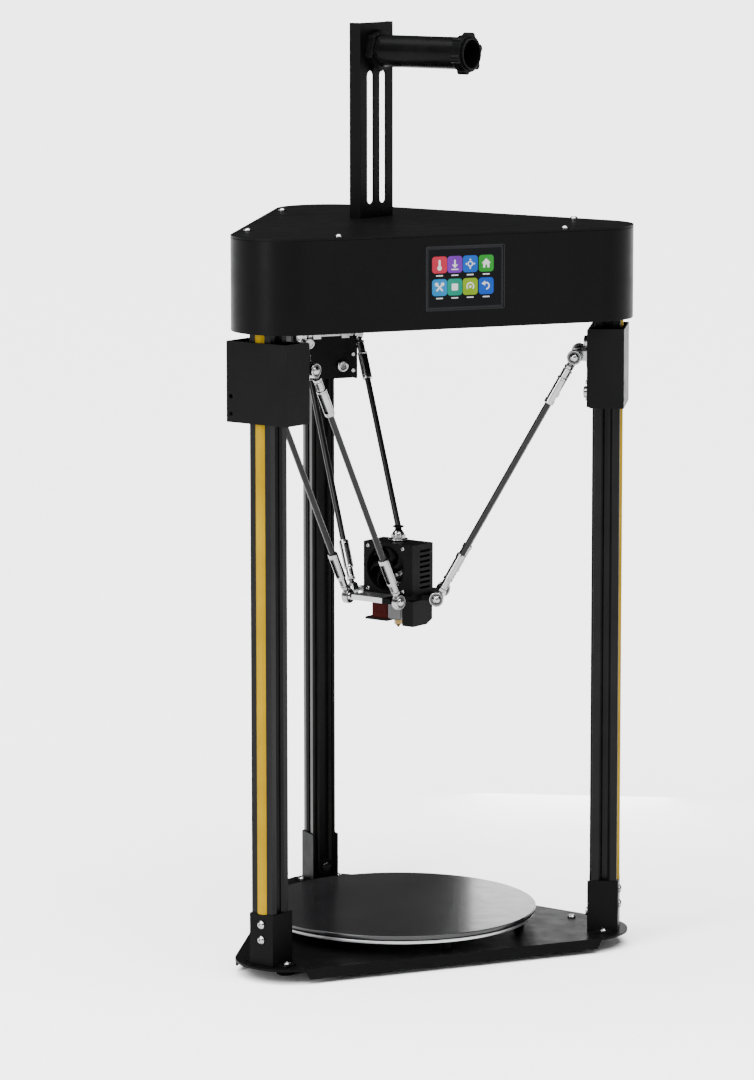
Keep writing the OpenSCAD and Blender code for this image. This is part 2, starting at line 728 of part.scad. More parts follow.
// Shroud around the heat sink, with the fan's seat on the +X side and louvres on the +Y side.
module hotend_shroud() {
    wall = shroud_wall;
    color("#151517") at_hotend() translate([0, 0, effector_top]) {
        difference() {
            translate([shroud_x0, shroud_y0, 0]) cube([shroud_d, shroud_w, shroud_h]);
            translate([shroud_x0 + wall, shroud_y0 + wall, -1])
                cube([shroud_d - fan_t - 2 * wall, shroud_w - 2 * wall, shroud_h - wall + 1]);
            translate([0, fan_y, shroud_h / 2]) x_rod(fan_hole_r, 0, shroud_x1 + 1);
            translate([0, 0, shroud_h - 4]) cylinder(r = 5.2, h = 6);
            for (k = [0:7]) translate([shroud_x0 + 4, shroud_y1 - wall - 1, 6 + k * 5])
                cube([shroud_d - fan_t - 6, wall + 2, 2.4]);
        }
        // bearing boss of the fan on three thin struts
        translate([shroud_x1 - fan_t + 1, fan_y, shroud_h / 2]) {
            x_rod(hub_r - 1, -2, -0.6);
            for (a = [30, 150, 270]) rotate([a, 0, 0]) translate([-2, 0, -0.8]) cube([1.4, fan_hole_r + 1, 1.6]);
        }
    }
    // air duct under the louvred side, chamfered at its inner end
    duct_top = effector_z - effector_t / 2;
    duct_x = shroud_x1 - 1;
    duct_y = shroud_y1 - duct_w;
    color("#1a1a1c") at_hotend() {
        difference() {
            hull() {
                translate([shroud_x0, duct_y, duct_top - 20]) cube([duct_x - shroud_x0, duct_w, 20]);
                translate([shroud_x0 + 9, duct_y, guide_z]) cube([duct_x - shroud_x0 - 9, duct_w, 1]);
            }
            translate([shroud_x0 + 10, duct_y + 1.5, guide_z + 2])
                cube([duct_x - shroud_x0 - 11.5, duct_w - 3, duct_top]);
            translate([-5, duct_y - 1, guide_z + 2]) cube([10, 4, 5]);
        }
        // flat plate under the heater block
        translate([-8, -33, guide_z]) cube([17, 26, guide_t]);
    }
}

// Fan wheel with pitched blades, turning about X, its middle at x = 0.
module rotor(r, hub, w, count) {
    x_rod(hub, -w / 2, w / 2);
    intersection() {
        x_rod(r, -w / 2, w / 2);
        for (k = [0:count - 1]) rotate([k * 360 / count, 0, 0]) translate([0, 0, hub - 1]) rotate([0, 0, 38])
            translate([-w, -0.6, 0]) cube([2 * w, 1.2, r]);
    }
}

module hotend_fan_rotor()
    color("#0e0e0f") at_hotend() translate([shroud_x1 - fan_t / 2 + 1, fan_y, effector_top + shroud_h / 2])
        rotor(rotor_r, hub_r, fan_t - 3, 7);

module side_fan()
    color("#141415") at_hotend() translate([shroud_x0, side_fan_y, effector_top + shroud_h / 2]) {
        difference() {
            bar(-side_fan_t, 0, side_fan_w, side_fan_w);
            x_rod(side_hole_r, -side_fan_t - 1, -1.6);
        }
    }

module side_fan_rotor()
    color("#0e0e0f") at_hotend() translate([shroud_x0 - side_fan_t / 2 - 1, side_fan_y, effector_top + shroud_h / 2])
        rotor(side_rotor_r, hub_r, side_fan_t - 4, 9);

module heater_block()
    color("#8a1f1a") at_hotend() translate([0, 0, block_z]) difference() {
        translate([-8, -26, 0]) cube([16, 34, block_h]);
        translate([0, 0, block_h / 2]) cylinder(r = break_r, h = block_h);
        translate([4, 0, 4]) y_rod(1.6, -27, 9);
    }

module nozzle() {
    tip = effector_z - nozzle_drop;
    color("#c8953a") at_hotend() translate([0, 0, tip]) difference() {
        union() {
            cylinder(r1 = 0.8, r2 = 3, h = 3);
            translate([0, 0, 3]) cylinder(r = 4, h = 4, $fn = 6);
            translate([0, 0, 7]) cylinder(r = 2.8, h = block_z - tip - 7);
        }
        translate([0, 0, -1]) cylinder(r = 0.25, h = block_z - tip + 2);
    }
}

// Push-in fitting for the filament tube, on top of the heat sink.
module tube_fitting()
    color("#b5b8bc") at_hotend() translate([0, 0, effector_top + shroud_h - 8]) difference() {
        union() {
            cylinder(r = 4.9, h = 8);
            translate([0, 0, 8]) cylinder(r = 9.5, h = 2);
            translate([0, 0, 10]) cylinder(r = 6, h = 6);
            translate([0, 0, 16]) cylinder(r1 = 6, r2 = 3.4, h = 2.5);
            translate([0, 0, 18.5]) cylinder(r = 3.2, h = 2);
            translate([0, 0, 20.5]) cylinder(r = 5.4, h = 1.6);
        }
        translate([0, 0, 6]) cylinder(r = 2.05, h = 18);
    }

base_plate();
rubber_feet();
foot_brackets();
button_screws();
tower(0);  // tower_a
tower(1);  // tower_b
tower(2);  // tower_c
slot_covers();
housing_shell();
housing_floor();
top_cover();
motor_mounts();
motors();
belts();
touch_screen();
mainboard();
power_supply();
extruder();
power_inlet();
power_rocker();
bed_standoffs();
heater_plate();
build_glass();
spool_bracket();
spool_tube();
spool_nut();
carriage_cover(0);  // carriage_cover_a
carriage_cover(1);  // carriage_cover_b
carriage_cover(2);  // carriage_cover_c
carriage_plate(0);  // carriage_plate_a
carriage_plate(1);  // carriage_plate_b
carriage_plate(2);  // carriage_plate_c
ball_bar(0);  // ball_bar_a
ball_bar(1);  // ball_bar_b
ball_bar(2);  // ball_bar_c
v_wheels(0);  // v_wheels_a
v_wheels(1);  // v_wheels_b
v_wheels(2);  // v_wheels_c
drive_pulley(0);  // drive_pulley_a
drive_pulley(1);  // drive_pulley_b
drive_pulley(2);  // drive_pulley_c
idler_pulley(0);  // idler_pulley_a
idler_pulley(1);  // idler_pulley_b
idler_pulley(2);  // idler_pulley_c
rod(0, -1);  // rod_a_left
rod(0, 1);  // rod_a_right
rod(1, -1);  // rod_b_left
rod(1, 1);  // rod_b_right
rod(2, -1);  // rod_c_left
rod(2, 1);  // rod_c_right
effector_plate();
effector_studs();
heat_sink();
hotend_shroud();
hotend_fan_rotor();
side_fan();
side_fan_rotor();
heater_block();
nozzle();
tube_fitting();
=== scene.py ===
import bmesh
import bpy
import json
import math
from mathutils import Matrix, Vector


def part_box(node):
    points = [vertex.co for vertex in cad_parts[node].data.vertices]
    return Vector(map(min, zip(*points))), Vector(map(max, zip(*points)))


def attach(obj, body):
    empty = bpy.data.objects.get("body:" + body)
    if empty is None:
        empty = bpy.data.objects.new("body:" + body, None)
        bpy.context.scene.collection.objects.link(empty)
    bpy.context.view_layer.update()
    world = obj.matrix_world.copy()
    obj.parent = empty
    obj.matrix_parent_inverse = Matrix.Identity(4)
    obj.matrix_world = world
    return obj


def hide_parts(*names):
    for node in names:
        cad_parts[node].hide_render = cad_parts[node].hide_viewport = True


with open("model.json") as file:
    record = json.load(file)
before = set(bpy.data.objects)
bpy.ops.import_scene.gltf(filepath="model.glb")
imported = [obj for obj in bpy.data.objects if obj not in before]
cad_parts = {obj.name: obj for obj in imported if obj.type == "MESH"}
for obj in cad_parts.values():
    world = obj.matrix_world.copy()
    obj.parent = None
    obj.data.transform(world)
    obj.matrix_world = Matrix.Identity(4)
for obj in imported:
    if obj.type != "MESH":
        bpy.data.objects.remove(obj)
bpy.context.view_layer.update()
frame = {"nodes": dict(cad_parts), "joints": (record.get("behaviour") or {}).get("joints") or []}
nodes = frame["nodes"]
joints = {joint["name"]: joint for joint in frame["joints"]}
towerNames = ["a", "b", "c"]
mm = 0.001
print("frame loaded,", len(nodes), "nodes")


# places and directions

def jointPlace(name):
    return Vector(joints[name]["pos_m"])


def jointAxis(name):
    return Vector(joints[name]["axis"]).normalized()


def placeAlong(origin, axis, side):
    # local Z along axis, local Y along side
    z = axis.normalized()
    y = (side - side.dot(z) * z).normalized()
    x = y.cross(z)
    place = Matrix((x, y, z)).transposed().to_4x4()
    place.translation = origin
    return place


def centreOf(node):
    low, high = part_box(node)
    return (Vector(low) + Vector(high)) / 2


up = Vector((0, 0, 1))
bedCentre = centreOf("build_glass")
bedCentre.z = 0


# mesh making

def turned(bm, profile, place, finish=0, steps=32, closed=False):
    # solid of revolution about local Z from (radius, height) pairs
    rings = []
    for radius, height in profile:
        ring = []
        for k in range(steps):
            turn = 2 * math.pi * k / steps
            point = Vector((radius * math.cos(turn), radius * math.sin(turn), height))
            ring.append(bm.verts.new(place @ point))
        rings.append(ring)
    pairs = list(zip(rings, rings[1:]))
    if closed:
        pairs.append((rings[-1], rings[0]))
    for lower, upper in pairs:
        for k in range(steps):
            after = (k + 1) % steps
            face = bm.faces.new((lower[k], lower[after], upper[after], upper[k]))
            face.material_index = finish
            face.smooth = True
    if not closed:
        for ring in (rings[0][::-1], rings[-1]):
            face = bm.faces.new(ring)
            face.material_index = finish


def prism(bm, outline, low, high, place, finish=0):
    # outline in local X and Y, raised from low to high along local Z
    bottom = [bm.verts.new(place @ Vector((x, y, low))) for x, y in outline]
    top = [bm.verts.new(place @ Vector((x, y, high))) for x, y in outline]
    faces = [bm.faces.new(bottom[::-1]), bm.faces.new(top)]
    count = len(outline)
    for k in range(count):
        after = (k + 1) % count
        faces.append(bm.faces.new((bottom[k], bottom[after], top[after], top[k])))
    for face in faces:
        face.material_index = finish


def roundedBox(width, height, radius, steps=6):
    points = []
    for corner, (sx, sy) in enumerate([(1, 1), (-1, 1), (-1, -1), (1, -1)]):
        for k in range(steps + 1):
            turn = math.pi / 2 * (corner + k / steps)
            points.append((sx * (width / 2 - radius) + radius * math.cos(turn),
                           sy * (height / 2 - radius) + radius * math.sin(turn)))
    return points


def circlePoints(radius, steps=24):
    turns = [2 * math.pi * k / steps for k in range(steps)]
    return [(radius * math.cos(turn), radius * math.sin(turn)) for turn in turns]


def arcBand(radius, width, start, sweep, steps=18):
    outer = []
    inner = []
    for k in range(steps + 1):
        turn = start + sweep * k / steps
        outer.append(((radius + width / 2) * math.cos(turn), (radius + width / 2) * math.sin(turn)))
        inner.append(((radius - width / 2) * math.cos(turn), (radius - width / 2) * math.sin(turn)))
    return outer + inner[::-1]


def shifted(outline, x, y):
    return [(px + x, py + y) for px, py in outline]


def finishPiece(name, bm, place, materials, body, replaced=(), edge=0.0):
    bmesh.ops.recalc_face_normals(bm, faces=bm.faces)
    mesh = bpy.data.meshes.new(name)
    bm.to_mesh(mesh)
    bm.free()
    for material in materials:
        mesh.materials.append(material)
    piece = bpy.data.objects.new(name, mesh)
    bpy.context.scene.collection.objects.link(piece)
    piece.matrix_world = place
    if edge:
        addEdge(piece, edge)
    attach(piece, body)
    if replaced:
        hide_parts(*replaced)


def addEdge(thing, width, angle=35, segments=2):
    flat = thing.modifiers.new("flatFaces", "DECIMATE")
    flat.decimate_type = "DISSOLVE"
    flat.angle_limit = math.radians(0.4)
    bevel = thing.modifiers.new("roundedEdge", "BEVEL")
    bevel.width = width
    bevel.segments = segments
    bevel.limit_method = "ANGLE"
    bevel.angle_limit = math.radians(angle)
    bevel.harden_normals = True
    normals = thing.modifiers.new("evenNormals", "WEIGHTED_NORMAL")
    normals.keep_sharp = True
    for polygon in thing.data.polygons:
        polygon.use_smooth = True


# finishes

def addNode(tree, kind, **values):
    node = tree.nodes.new(kind)
    for key, value in values.items():
        setattr(node, key, value)
    return node


def noiseNode(tree, coordinates, scale, detail=3.0, roughness=0.55):
    noise = addNode(tree, "ShaderNodeTexNoise")
    noise.inputs["Scale"].default_value = scale
    noise.inputs["Detail"].default_value = detail
    noise.inputs["Roughness"].default_value = roughness
    tree.links.new(coordinates, noise.inputs["Vector"])
    return noise.outputs["Fac"]


def rangeNode(tree, source, low, high, start=0.3, stop=0.7):
    spread = addNode(tree, "ShaderNodeMapRange")
    spread.inputs["From Min"].default_value = start
    spread.inputs["From Max"].default_value = stop
    spread.inputs["To Min"].default_value = low
    spread.inputs["To Max"].default_value = high
    tree.links.new(source, spread.inputs["Value"])
    return spread.outputs["Result"]


def newMaterial(name, look):
    # two shades and two roughnesses spread by a cloudy noise, with a fine grain in the bump
    material = bpy.data.materials.new(name)
    material.use_nodes = True
    tree = material.node_tree
    shader = tree.nodes["Principled BSDF"]
    shader.inputs["Metallic"].default_value = look.get("metallic", 0.0)
    shader.inputs["Coat Weight"].default_value = look.get("coat", 0.0)
    shader.inputs["Coat Roughness"].default_value = look.get("coatRoughness", 0.1)
    shader.inputs["Specular IOR Level"].default_value = look.get("specular", 0.5)
    coordinates = addNode(tree, "ShaderNodeTexCoord").outputs["Object"]
    stretch = addNode(tree, "ShaderNodeMapping")
    stretch.inputs["Scale"].default_value = look.get("stretch", (1, 1, 1))
    tree.links.new(coordinates, stretch.inputs["Vector"])
    stretched = stretch.outputs["Vector"]
    cloud = noiseNode(tree, coordinates, look.get("cloud", 18))
    shade = addNode(tree, "ShaderNodeMix", data_type="RGBA")
    shade.inputs[6].default_value = (*look["dark"], 1)
    shade.inputs[7].default_value = (*look["light"], 1)
    tree.links.new(rangeNode(tree, cloud, 0, 1), shade.inputs["Factor"])
    grain = noiseNode(tree, stretched, look.get("grain", 1400), 2.0)
    speck = addNode(tree, "ShaderNodeMix", data_type="RGBA", blend_type="MULTIPLY")
    speck.inputs["Factor"].default_value = 1.0
    tree.links.new(shade.outputs[2], speck.inputs[6])
    toned = addNode(tree, "ShaderNodeCombineColor")
    tone = rangeNode(tree, grain, 1 - look.get("speck", 0.12), 1 + look.get("speck", 0.12))
    for channel in range(3):
        tree.links.new(tone, toned.inputs[channel])
    tree.links.new(toned.outputs["Color"], speck.inputs[7])
    tree.links.new(speck.outputs[2], shader.inputs["Base Color"])
    smooth, dull = look["roughness"]
    wear = noiseNode(tree, stretched, look.get("wear", 60), 4.0)
    tree.links.new(rangeNode(tree, wear, smooth, dull), shader.inputs["Roughness"])
    bump = addNode(tree, "ShaderNodeBump")
    bump.inputs["Strength"].default_value = look.get("strength", 0.35)
    bump.inputs["Distance"].default_value = look.get("depth", 0.00006)
    tree.links.new(grain, bump.inputs["Height"])
    tree.links.new(bump.outputs["Normal"], shader.inputs["Normal"])
    return material


def addPattern(material, pattern, depth):
    # a second bump below the grain, from a node that gives a height
    tree = material.node_tree
    shader = tree.nodes["Principled BSDF"]
    grainBump = shader.inputs["Normal"].links[0].from_node
    under = addNode(tree, "ShaderNodeBump")
    under.inputs["Strength"].default_value = 0.6
    under.inputs["Distance"].default_value = depth
    tree.links.new(pattern, under.inputs["Height"])
    tree.links.new(under.outputs["Normal"], grainBump.inputs["Normal"])


sheetLook = {"specular": 0.03, "dark": (0.0012, 0.0012, 0.0012), "light": (0.0019, 0.0019, 0.002),
             "roughness": (0.36, 0.46), "grain": 1500, "depth": 0.00005, "cloud": 9}
housingLook = {"specular": 0.03, "dark": (0.0011, 0.0011, 0.0012),
               "light": (0.0016, 0.0016, 0.0017), "roughness": (0.32, 0.4), "grain": 1700,
               "depth": 0.00004, "cloud": 7}
carriageLook = {"specular": 0.03, "dark": (0.0016, 0.0016, 0.0017),
                "light": (0.0025, 0.0025, 0.0027), "roughness": (0.36, 0.44), "grain": 1600,
                "depth": 0.00004, "cloud": 14}
towerLook = {"specular": 0.1, "dark": (0.0021, 0.0021, 0.0022), "light": (0.0035, 0.0035, 0.0036),
             "roughness": (0.3, 0.42), "metallic": 0.35, "grain": 2200, "stretch": (1, 1, 0.02),
             "depth": 0.00003, "cloud": 25, "wear": 300}
stripLook = {"specular": 0.03, "dark": (0.1472, 0.0896, 0.0005), "light": (0.2, 0.1232, 0.0006),
             "roughness": (0.38, 0.5), "grain": 1800, "stretch": (1, 1, 0.05), "depth": 0.00003,
             "speck": 0.06}
steelLook = {"dark": (0.1728, 0.1728, 0.1772), "light": (0.2938, 0.2938, 0.298),
             "roughness": (0.13, 0.26), "metallic": 1.0, "grain": 2600, "stretch": (1, 1, 0.2),
             "depth": 0.00001, "speck": 0.05, "wear": 500}
dullSteelLook = {"dark": (0.0363, 0.0363, 0.0373), "light": (0.0674, 0.0674, 0.0684),
                 "roughness": (0.28, 0.4), "metallic": 1.0, "grain": 2600, "depth": 0.00001,
                 "speck": 0.08, "wear": 500}
aluminiumLook = {"dark": (0.2765, 0.2788, 0.2834), "light": (0.3917, 0.3951, 0.3997),
                 "roughness": (0.28, 0.42), "metallic": 1.0, "grain": 2000, "stretch": (1, 1, 8),
                 "depth": 0.000012, "speck": 0.08}
plasticLook = {"specular": 0.03, "dark": (0.0013, 0.0013, 0.0014),
               "light": (0.0023, 0.0023, 0.0024), "roughness": (0.34, 0.46), "grain": 2600,
               "depth": 0.00004, "cloud": 30}
spoolLook = {"specular": 0.03, "dark": (0.0012, 0.0012, 0.0013), "light": (0.002, 0.002, 0.0022),
             "roughness": (0.22, 0.34), "grain": 2200, "depth": 0.00002, "cloud": 30}
rubberLook = {"specular": 0.03, "dark": (0.004, 0.004, 0.004), "light": (0.0069, 0.0069, 0.0066),
              "roughness": (0.6, 0.75), "grain": 1200, "depth": 0.0001}
glassLook = {"specular": 0.25, "dark": (0.0032, 0.0032, 0.0036), "light": (0.0064, 0.0064, 0.0068),
             "roughness": (0.2, 0.27), "coat": 0.25, "coatRoughness": 0.12, "grain": 3000,
             "depth": 0.00001, "cloud": 12}
motorLook = {"dark": (0.0128, 0.0128, 0.0141), "light": (0.0256, 0.0256, 0.0275),
             "roughness": (0.35, 0.5), "metallic": 0.4, "grain": 1500, "stretch": (1, 1, 0.3),
             "depth": 0.00004}
zincLook = {"dark": (0.3629, 0.3802, 0.3888), "light": (0.5184, 0.5357, 0.553),
            "roughness": (0.32, 0.5), "metallic": 0.9, "grain": 260, "depth": 0.00003,
            "speck": 0.18}
boardLook = {"dark": (0.0064, 0.06, 0.024), "light": (0.0096, 0.088, 0.036),
             "roughness": (0.3, 0.42), "grain": 700, "depth": 0.00005, "coat": 0.3}
keyLook = {"dark": (0.64, 0.0192, 0.016), "light": (0.8, 0.032, 0.0256), "roughness": (0.2, 0.3),
           "grain": 1500, "depth": 0.00002}
sockLook = {"specular": 0.03, "dark": (0.011, 0.0007, 0.0005), "light": (0.0221, 0.0014, 0.001),
            "roughness": (0.5, 0.62), "grain": 1100, "depth": 0.00008}
brassLook = {"dark": (0.1071, 0.0691, 0.0225), "light": (0.1382, 0.095, 0.038),
             "roughness": (0.2, 0.34), "metallic": 1.0, "grain": 2500, "stretch": (0.3, 0.3, 6),
             "depth": 0.00002}
carbonLook = {"specular": 0.12, "dark": (0.0022, 0.0022, 0.0023), "light": (0.0043, 0.0043, 0.0047),
              "roughness": (0.3, 0.4), "coat": 0.06, "coatRoughness": 0.18, "grain": 2400,
              "depth": 0.00002}

blackSheet = newMaterial("blackSheet", sheetLook)
housingPaint = newMaterial("housingPaint", housingLook)
carriagePaint = newMaterial("carriagePaint", carriageLook)
towerAnodise = newMaterial("towerAnodise", towerLook)
yellowStrip = newMaterial("yellowStrip", stripLook)
brightSteel = newMaterial("brightSteel", steelLook)
dullSteel = newMaterial("dullSteel", dullSteelLook)
bareAluminium = newMaterial("bareAluminium", aluminiumLook)
blackPlastic = newMaterial("blackPlastic", plasticLook)
spoolPlastic = newMaterial("spoolPlastic", spoolLook)
blackRubber = newMaterial("blackRubber", rubberLook)
coatedGlass = newMaterial("coatedGlass", glassLook)
motorPaint = newMaterial("motorPaint", motorLook)
zincSheet = newMaterial("zincSheet", zincLook)
circuitBoard = newMaterial("circuitBoard", boardLook)
redKey = newMaterial("redKey", keyLook)
redSilicone = newMaterial("redSilicone", sockLook)
turnedBrass = newMaterial("turnedBrass", brassLook)
carbonTube = newMaterial("carbonTube", carbonLook)


# the wave node multiplies every place by this itself
waveRatio = 20


def weavePattern(material, size, turn):
    # crossed ribs, like woven fibre or a printed lattice, 2 pi times size apart
    tree = material.node_tree
    coordinates = addNode(tree, "ShaderNodeTexCoord").outputs["Object"]
    mapping = addNode(tree, "ShaderNodeMapping")
    mapping.inputs["Rotation"].default_value = turn
    tree.links.new(coordinates, mapping.inputs["Vector"])
    heights = []
    for direction in ("X", "Z" if turn[0] else "Y"):
        wave = addNode(tree, "ShaderNodeTexWave", wave_type="BANDS", bands_direction=direction)
        wave.inputs["Scale"].default_value = 1 / size / waveRatio
        wave.inputs["Distortion"].default_value = 0.0
        tree.links.new(mapping.outputs["Vector"], wave.inputs["Vector"])
        heights.append(wave.outputs["Fac"])
    both = addNode(tree, "ShaderNodeMath", operation="MULTIPLY")
    tree.links.new(heights[0], both.inputs[0])
    tree.links.new(heights[1], both.inputs[1])
    return both.outputs["Value"]


addPattern(coatedGlass, weavePattern(coatedGlass, 0.0022, (0, 0, 0.6)), 0.00002)
addPattern(carbonTube, weavePattern(carbonTube, 0.0024, (0.8, 0.6, 0)), 0.00006)
print("finishes ready")


# CAD nodes: finish, and rounded edges in metres

def shadedSide(material, angle, start):
    # painted shade: dark colour on the part of a node that lies beyond start in one direction from the bed's
    # centre
    tree = material.node_tree
    shader = tree.nodes["Principled BSDF"]
    away = addNode(tree, "ShaderNodeVectorMath", operation="SUBTRACT")
    away.inputs[1].default_value = (bedCentre.x, bedCentre.y, 0)
    tree.links.new(addNode(tree, "ShaderNodeTexCoord").outputs["Object"], away.inputs[0])
    along = addNode(tree, "ShaderNodeVectorMath", operation="DOT_PRODUCT")
    along.inputs[1].default_value = (math.cos(angle), math.sin(angle), 0)
    tree.links.new(away.outputs["Vector"], along.inputs[0])
    share = rangeNode(tree, along.outputs["Value"], 0, 1, start, start + 0.5 * mm)
    # the painted shade's near-black colour
    paint = addNode(tree, "ShaderNodeMix", data_type="RGBA")
    paint.inputs[7].default_value = (0.003, 0.003, 0.003, 1)
    tree.links.new(shader.inputs["Base Color"].links[0].from_socket, paint.inputs[6])
    tree.links.new(share, paint.inputs["Factor"])
    tree.links.new(paint.outputs[2], shader.inputs["Base Color"])


# painted shade: the effector plate is darkened beyond 13 mm towards 300 degrees from the bed's centre
effectorShade = {"direction": 300, "start": 13 * mm}
effectorShadedMetal = newMaterial("effectorShadedMetal", aluminiumLook)
shadedSide(effectorShadedMetal, math.radians(effectorShade["direction"]), effectorShade["start"])
nodeFinishes = [
    (["base_plate", "foot_brackets", "housing_floor", "top_cover", "spool_bracket"], blackSheet, 0.0005),
    (["housing_shell"], housingPaint, 0.0006),
    (["carriage_cover_" + t for t in towerNames], carriagePaint, 0.0006),
    (["carriage_plate_" + t for t in towerNames], carriagePaint, 0.0004),
    (["tower_" + t for t in towerNames], towerAnodise, 0.0004),
    (["slot_covers"], yellowStrip, 0.0002),
    (["button_screws", "effector_studs"] + ["ball_bar_" + t for t in towerNames], brightSteel, 0.0002),
    (["heater_plate"], bareAluminium, 0.0005),
    (["effector_plate"], effectorShadedMetal, 0.0005),
    (["motor_mounts", "heat_sink"], bareAluminium, 0.0002),
    (["drive_pulley_" + t for t in towerNames], bareAluminium, 0.0),
    (["idler_pulley_" + t for t in towerNames], blackPlastic, 0.0),
    (["rubber_feet"], blackRubber, 0.0006),
    (["build_glass"], coatedGlass, 0.0007),
    (["motors", "extruder"], motorPaint, 0.0004),
    (["mainboard"], circuitBoard, 0.0002),
    (["power_supply"], zincSheet, 0.0006),
    (["power_inlet", "hotend_shroud", "side_fan", "bed_standoffs"], blackPlastic, 0.0006),
    (["v_wheels_" + t for t in towerNames], blackPlastic, 0.0003),
    (["power_rocker"], redKey, 0.0005),
    (["spool_tube", "spool_nut"], spoolPlastic, 0.0008),
    (["nozzle"], turnedBrass, 0.0001),
]
for names, material, edge in nodeFinishes:
    for name in names:
        node = nodes[name]
        node.data.materials.clear()
        node.data.materials.append(material)
        weld = node.modifiers.new("joinedCorners", "WELD")
        weld.merge_threshold = 0.00001
        if edge:
            addEdge(node, edge)
        else:
            for polygon in node.data.polygons:
                polygon.use_smooth = False
print("CAD nodes finished")


# rods: carbon tube with a sleeve, lock nut and ball eye at each end

rodSizes = {"tube": 2.9 * mm, "endLength": 50 * mm, "forkLength": 26 * mm, "eye": 7 * mm,
            "eyeWidth": 6.5 * mm, "ball": 5 * mm, "ballGap": 0.05 * mm, "rim": 0.6 * mm, "liner": 0.4 * mm,
            "nut": 4.2 * mm, "sleeve": 3.7 * mm, "groove": 3.9 * mm, "collar": 4.8 * mm, "core": 2.7 * mm,
            "tubeOverlap": 1 * mm}
rodSteel = 1
rodDark = 2


def rodEnd(bm, place):
    eye = rodSizes["eye"]
    half = rodSizes["eyeWidth"] / 2
    ball = rodSizes["ball"] + rodSizes["ballGap"]
    rim = rodSizes["rim"]
    liner = rodSizes["liner"]
    collar = rodSizes["collar"]
    core = rodSizes["core"]
    long = rodSizes["endLength"]
    fork = long - rodSizes["forkLength"]
    across = place @ Matrix.Rotation(math.pi / 2, 4, "X")
    eyeRing = [(ball + 0.9 * mm, -half), (eye - rim, -half), (eye, -half + rim), (eye, half - rim),
               (eye - rim, half), (ball + 0.9 * mm, half)]
    turned(bm, eyeRing, across, rodSteel, 40, closed=True)
    seat = [(ball - 0.6 * mm, -half + liner), (ball + 1 * mm, -half + liner),
            (ball + 1 * mm, half - liner), (ball - 0.6 * mm, half - liner)]
    turned(bm, seat, across, rodDark, 40, closed=True)
    neck = [(2.9 * mm, eye - 0.8 * mm), (2.4 * mm, eye + 1 * mm), (2.4 * mm, eye + 3 * mm)]
    turned(bm, neck, place, rodDark, 24)
    prism(bm, circlePoints(rodSizes["nut"], 6), eye + 2.4 * mm, eye + 5 * mm, place, rodSteel)
    sleeve = rodSizes["sleeve"]
    profile = [(3.3 * mm, eye + 5.2 * mm), (sleeve, eye + 5.7 * mm), (sleeve, fork - 2.6 * mm),
               (collar, fork - 2 * mm), (collar, fork - 0.3 * mm), (4.2 * mm, fork + 0.3 * mm)]
    turned(bm, profile, place, rodSteel)
    for side in (-1, 1):
        # painted shade: dark strips just proud of the sleeve on each side stand in for grooves, which are
        # not cut
        groove = [(x, y) for x, y in circlePoints(rodSizes["groove"], 48) if x * side > 3.1 * mm]
        prism(bm, groove, eye + 7 * mm, fork - 4 * mm, place, rodDark)
        rail = [(x, y) for x, y in circlePoints(collar, 48) if y * side > 2.3 * mm]
        prism(bm, rail, fork, long - 4 * mm, place, rodSteel)
    turned(bm, [(core, fork), (core, long - 3.8 * mm)], place, rodDark, 20)
    cap = [(4.4 * mm, long - 4.4 * mm), (collar, long - 4 * mm), (collar, long - 1 * mm),
           (4.4 * mm, long), (3 * mm, long + 0.3 * mm)]
    turned(bm, cap, place, rodSteel)


def makeRod(tower, side):
    name = "rod_" + tower + "_" + side
    topBall = jointPlace(name + "_spin")
    axis = jointAxis(name + "_spin")
    lowest = centreOf("effector_plate").z
    length = (topBall.z - lowest) / axis.z
    place = placeAlong(topBall - axis * length, axis, up.cross(axis))
    bm = bmesh.new()
    rodEnd(bm, Matrix.Identity(4))
    flip = Matrix.Translation((0, 0, length)) @ Matrix.Rotation(math.pi, 4, "Y")
    rodEnd(bm, flip)
    start = rodSizes["endLength"] - rodSizes["tubeOverlap"]
    tube = [(rodSizes["tube"], start), (rodSizes["tube"], length - start)]
    turned(bm, tube, Matrix.Identity(4), 0, 40)
    finishPiece("rod" + tower.upper() + side.capitalize(), bm, place, [carbonTube, brightSteel, dullSteel],
                name, [name], edge=0.0003)


for tower in towerNames:
    for side in ("left", "right"):
        makeRod(tower, side)
print("rods made")


# toothed belts around the drive and idler pulleys

beltSizes = {"pitch": 2 * mm, "toothDepth": 0.7 * mm, "back": 0.7 * mm, "width": 6 * mm,
             "pitchRadius": 6.37 * mm, "toothOutline": ((0.0, 0.0), (0.3, 0.0), (0.42, 1.0), (0.88, 1.0))}


def loopPoint(distance, offset, low, high, radius):
    # point on a loop around two equal wheels, offset outward from the pitch line
    straight = high - low
    arc = math.pi * radius
    distance = distance % (2 * (straight + arc))
    if distance < straight:
        return (radius + offset, low + distance)
    distance -= straight
    if distance < arc:
        turn = distance / radius
        return ((radius + offset) * math.cos(turn), high + (radius + offset) * math.sin(turn))
    distance -= arc
    if distance < straight:
        return (-radius - offset, high - distance)
    turn = (distance - straight) / radius
    return (-(radius + offset) * math.cos(turn), low - (radius + offset) * math.sin(turn))


